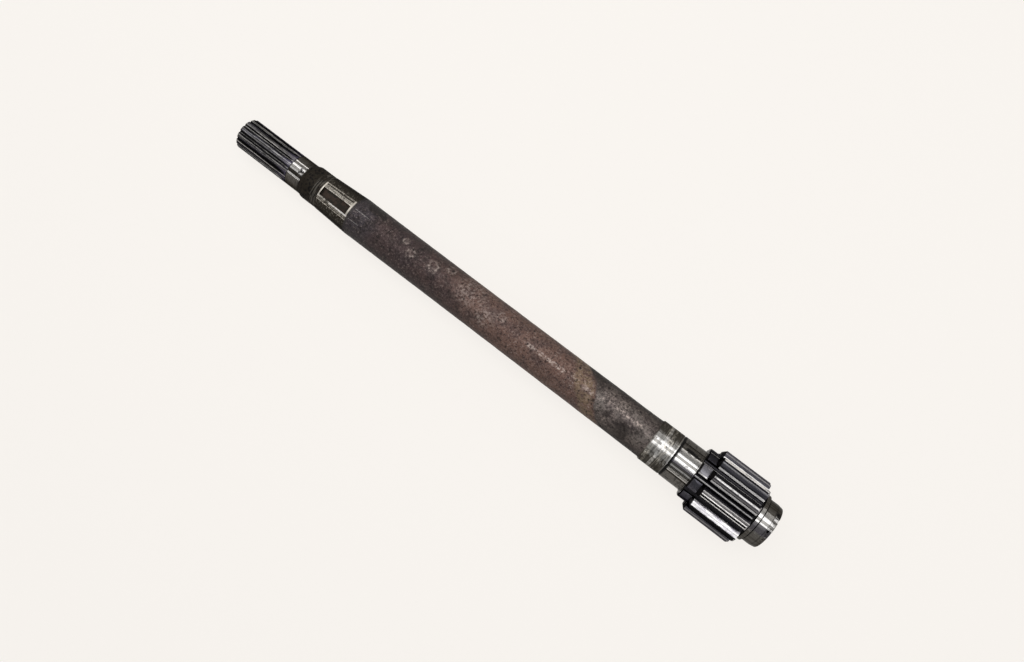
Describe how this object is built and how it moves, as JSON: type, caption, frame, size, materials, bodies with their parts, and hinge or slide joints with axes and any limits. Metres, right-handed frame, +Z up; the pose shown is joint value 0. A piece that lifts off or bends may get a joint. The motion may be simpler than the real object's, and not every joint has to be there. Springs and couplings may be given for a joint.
{
  "type": "pinion shaft",
  "caption": "Long one-piece drive shaft with a straight-toothed pinion, bearing seats, a keyed taper and a splined end.",
  "frame": {"origin": "on the shaft axis, at mid length of the ground seat behind the pinion", "axes": "+X along the shaft from the splined end to the pinion; +Z up, through the middle of a tooth space, so the shaft lies on two teeth and its splined end"},
  "size_m": [0.7331, 0.0774, 0.0746],
  "materials": {
    "steel": "forged shank with rust, ground and worn seats"
  },
  "bodies": {
    "root": {"pinion_shaft": "steel"}
  },
  "joints": []
}
